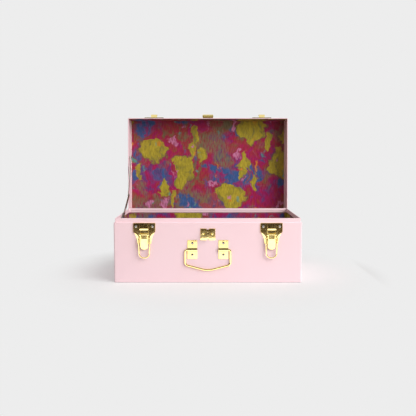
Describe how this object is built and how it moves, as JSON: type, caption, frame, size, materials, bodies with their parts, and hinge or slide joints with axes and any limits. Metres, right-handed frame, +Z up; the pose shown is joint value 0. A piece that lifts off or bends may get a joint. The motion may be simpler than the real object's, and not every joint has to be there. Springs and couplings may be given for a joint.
{
  "type": "storage trunk",
  "caption": "Small folded sheet-steel keepsake trunk with an open hinged lid, printed lining, draw latches, hasp, drop handle and a folding lid stay.",
  "frame": {"origin": "middle of the underside of the base", "axes": "+X to the right along the front, +Y to the back, +Z up; the front wall faces -Y"},
  "size_m": [0.4009, 0.3214, 0.3714],
  "materials": {
    "pink_coat": "satin powder coat",
    "brass_plate": "bright plate",
    "nickel_plate": "dulled plate",
    "stay_steel": "dull dark plate",
    "printed_lining": "matt print"
  },
  "bodies": {
    "base": {"base_walls": "pink_coat", "base_floor": "pink_coat", "base_lining": "printed_lining", "latch_plate_left": "brass_plate", "latch_plate_right": "brass_plate", "latch_pin_left": "brass_plate", "latch_pin_right": "brass_plate", "latch_rivets": "nickel_plate", "hasp_staple": "brass_plate", "hasp_staple_rivets": "brass_plate", "handle_plate_left": "brass_plate", "handle_plate_right": "brass_plate", "handle_rivets": "nickel_plate", "hinge_base_leaf_left": "brass_plate", "hinge_base_leaf_right": "brass_plate", "hinge_pin_left": "brass_plate", "hinge_pin_right": "brass_plate", "hinge_base_rivets": "nickel_plate", "stay_base_pivot": "stay_steel"},
    "lid": {"lid_shell": "pink_coat", "lid_lining": "printed_lining", "strike_left": "brass_plate", "strike_right": "brass_plate", "strike_rivets": "nickel_plate", "hasp_plate": "brass_plate", "hasp_plate_rivets": "nickel_plate", "hasp_pin": "brass_plate", "hinge_lid_leaf_left": "brass_plate", "hinge_lid_leaf_right": "brass_plate", "hinge_lid_rivets": "nickel_plate", "stay_lid_pivot": "stay_steel"},
    "left_lever": {"latch_lever_left": "brass_plate"},
    "right_lever": {"latch_lever_right": "brass_plate"},
    "left_bail": {"latch_bail_left": "brass_plate"},
    "right_bail": {"latch_bail_right": "brass_plate"},
    "handle": {"handle_bail": "brass_plate"},
    "strap": {"hasp_strap": "brass_plate"},
    "lower_arm": {"stay_lower_arm": "stay_steel", "stay_elbow_rivet": "stay_steel"},
    "upper_arm": {"stay_upper_arm": "stay_steel"}
  },
  "joints": [
    {"name": "lid_hinge", "type": "hinge", "parent": "base", "child": "lid", "pos_m": [0, 0.1185, 0.129], "axis": [1, 0, 0], "range_deg": [0, 94]},
    {"name": "left_lever_swing", "type": "hinge", "parent": "base", "child": "left_lever", "pos_m": [-0.13488, -0.1215, 0.104], "axis": [1, 0, 0], "range_deg": [-120, 0]},
    {"name": "left_bail_swing", "type": "hinge", "parent": "left_lever", "child": "left_bail", "pos_m": [-0.13488, -0.121, 0.0975], "axis": [-1, 0, 0], "range_deg": [0, 180]},
    {"name": "right_lever_swing", "type": "hinge", "parent": "base", "child": "right_lever", "pos_m": [0.13488, -0.1215, 0.104], "axis": [1, 0, 0], "range_deg": [-120, 0]},
    {"name": "right_bail_swing", "type": "hinge", "parent": "right_lever", "child": "right_bail", "pos_m": [0.13488, -0.121, 0.0975], "axis": [-1, 0, 0], "range_deg": [0, 180]},
    {"name": "handle_swing", "type": "hinge", "parent": "base", "child": "handle", "pos_m": [0, -0.1178, 0.07114], "axis": [-1, 0, 0], "range_deg": [0, 140]},
    {"name": "strap_swing", "type": "hinge", "parent": "lid", "child": "strap", "pos_m": [0, 0.1408, 0.36763], "axis": [1, 0, 0], "range_deg": [0, 180]},
    {"name": "stay_lower_swing", "type": "hinge", "parent": "base", "child": "lower_arm", "pos_m": [-0.1928, -0.0565, 0.115], "axis": [-1, 0, 0], "range_deg": [0, 15.2]},
    {"name": "stay_upper_swing", "type": "hinge", "parent": "lid", "child": "upper_arm", "pos_m": [-0.1945, 0.14202, 0.26469], "axis": [1, 0, 0], "range_deg": [0, 24.55]}
  ],
  "couplings": [
    {"joint": "stay_lower_swing", "follows": "lid_hinge", "ratio": 0.16164},
    {"joint": "stay_upper_swing", "follows": "lid_hinge", "ratio": 0.26112}
  ]
}
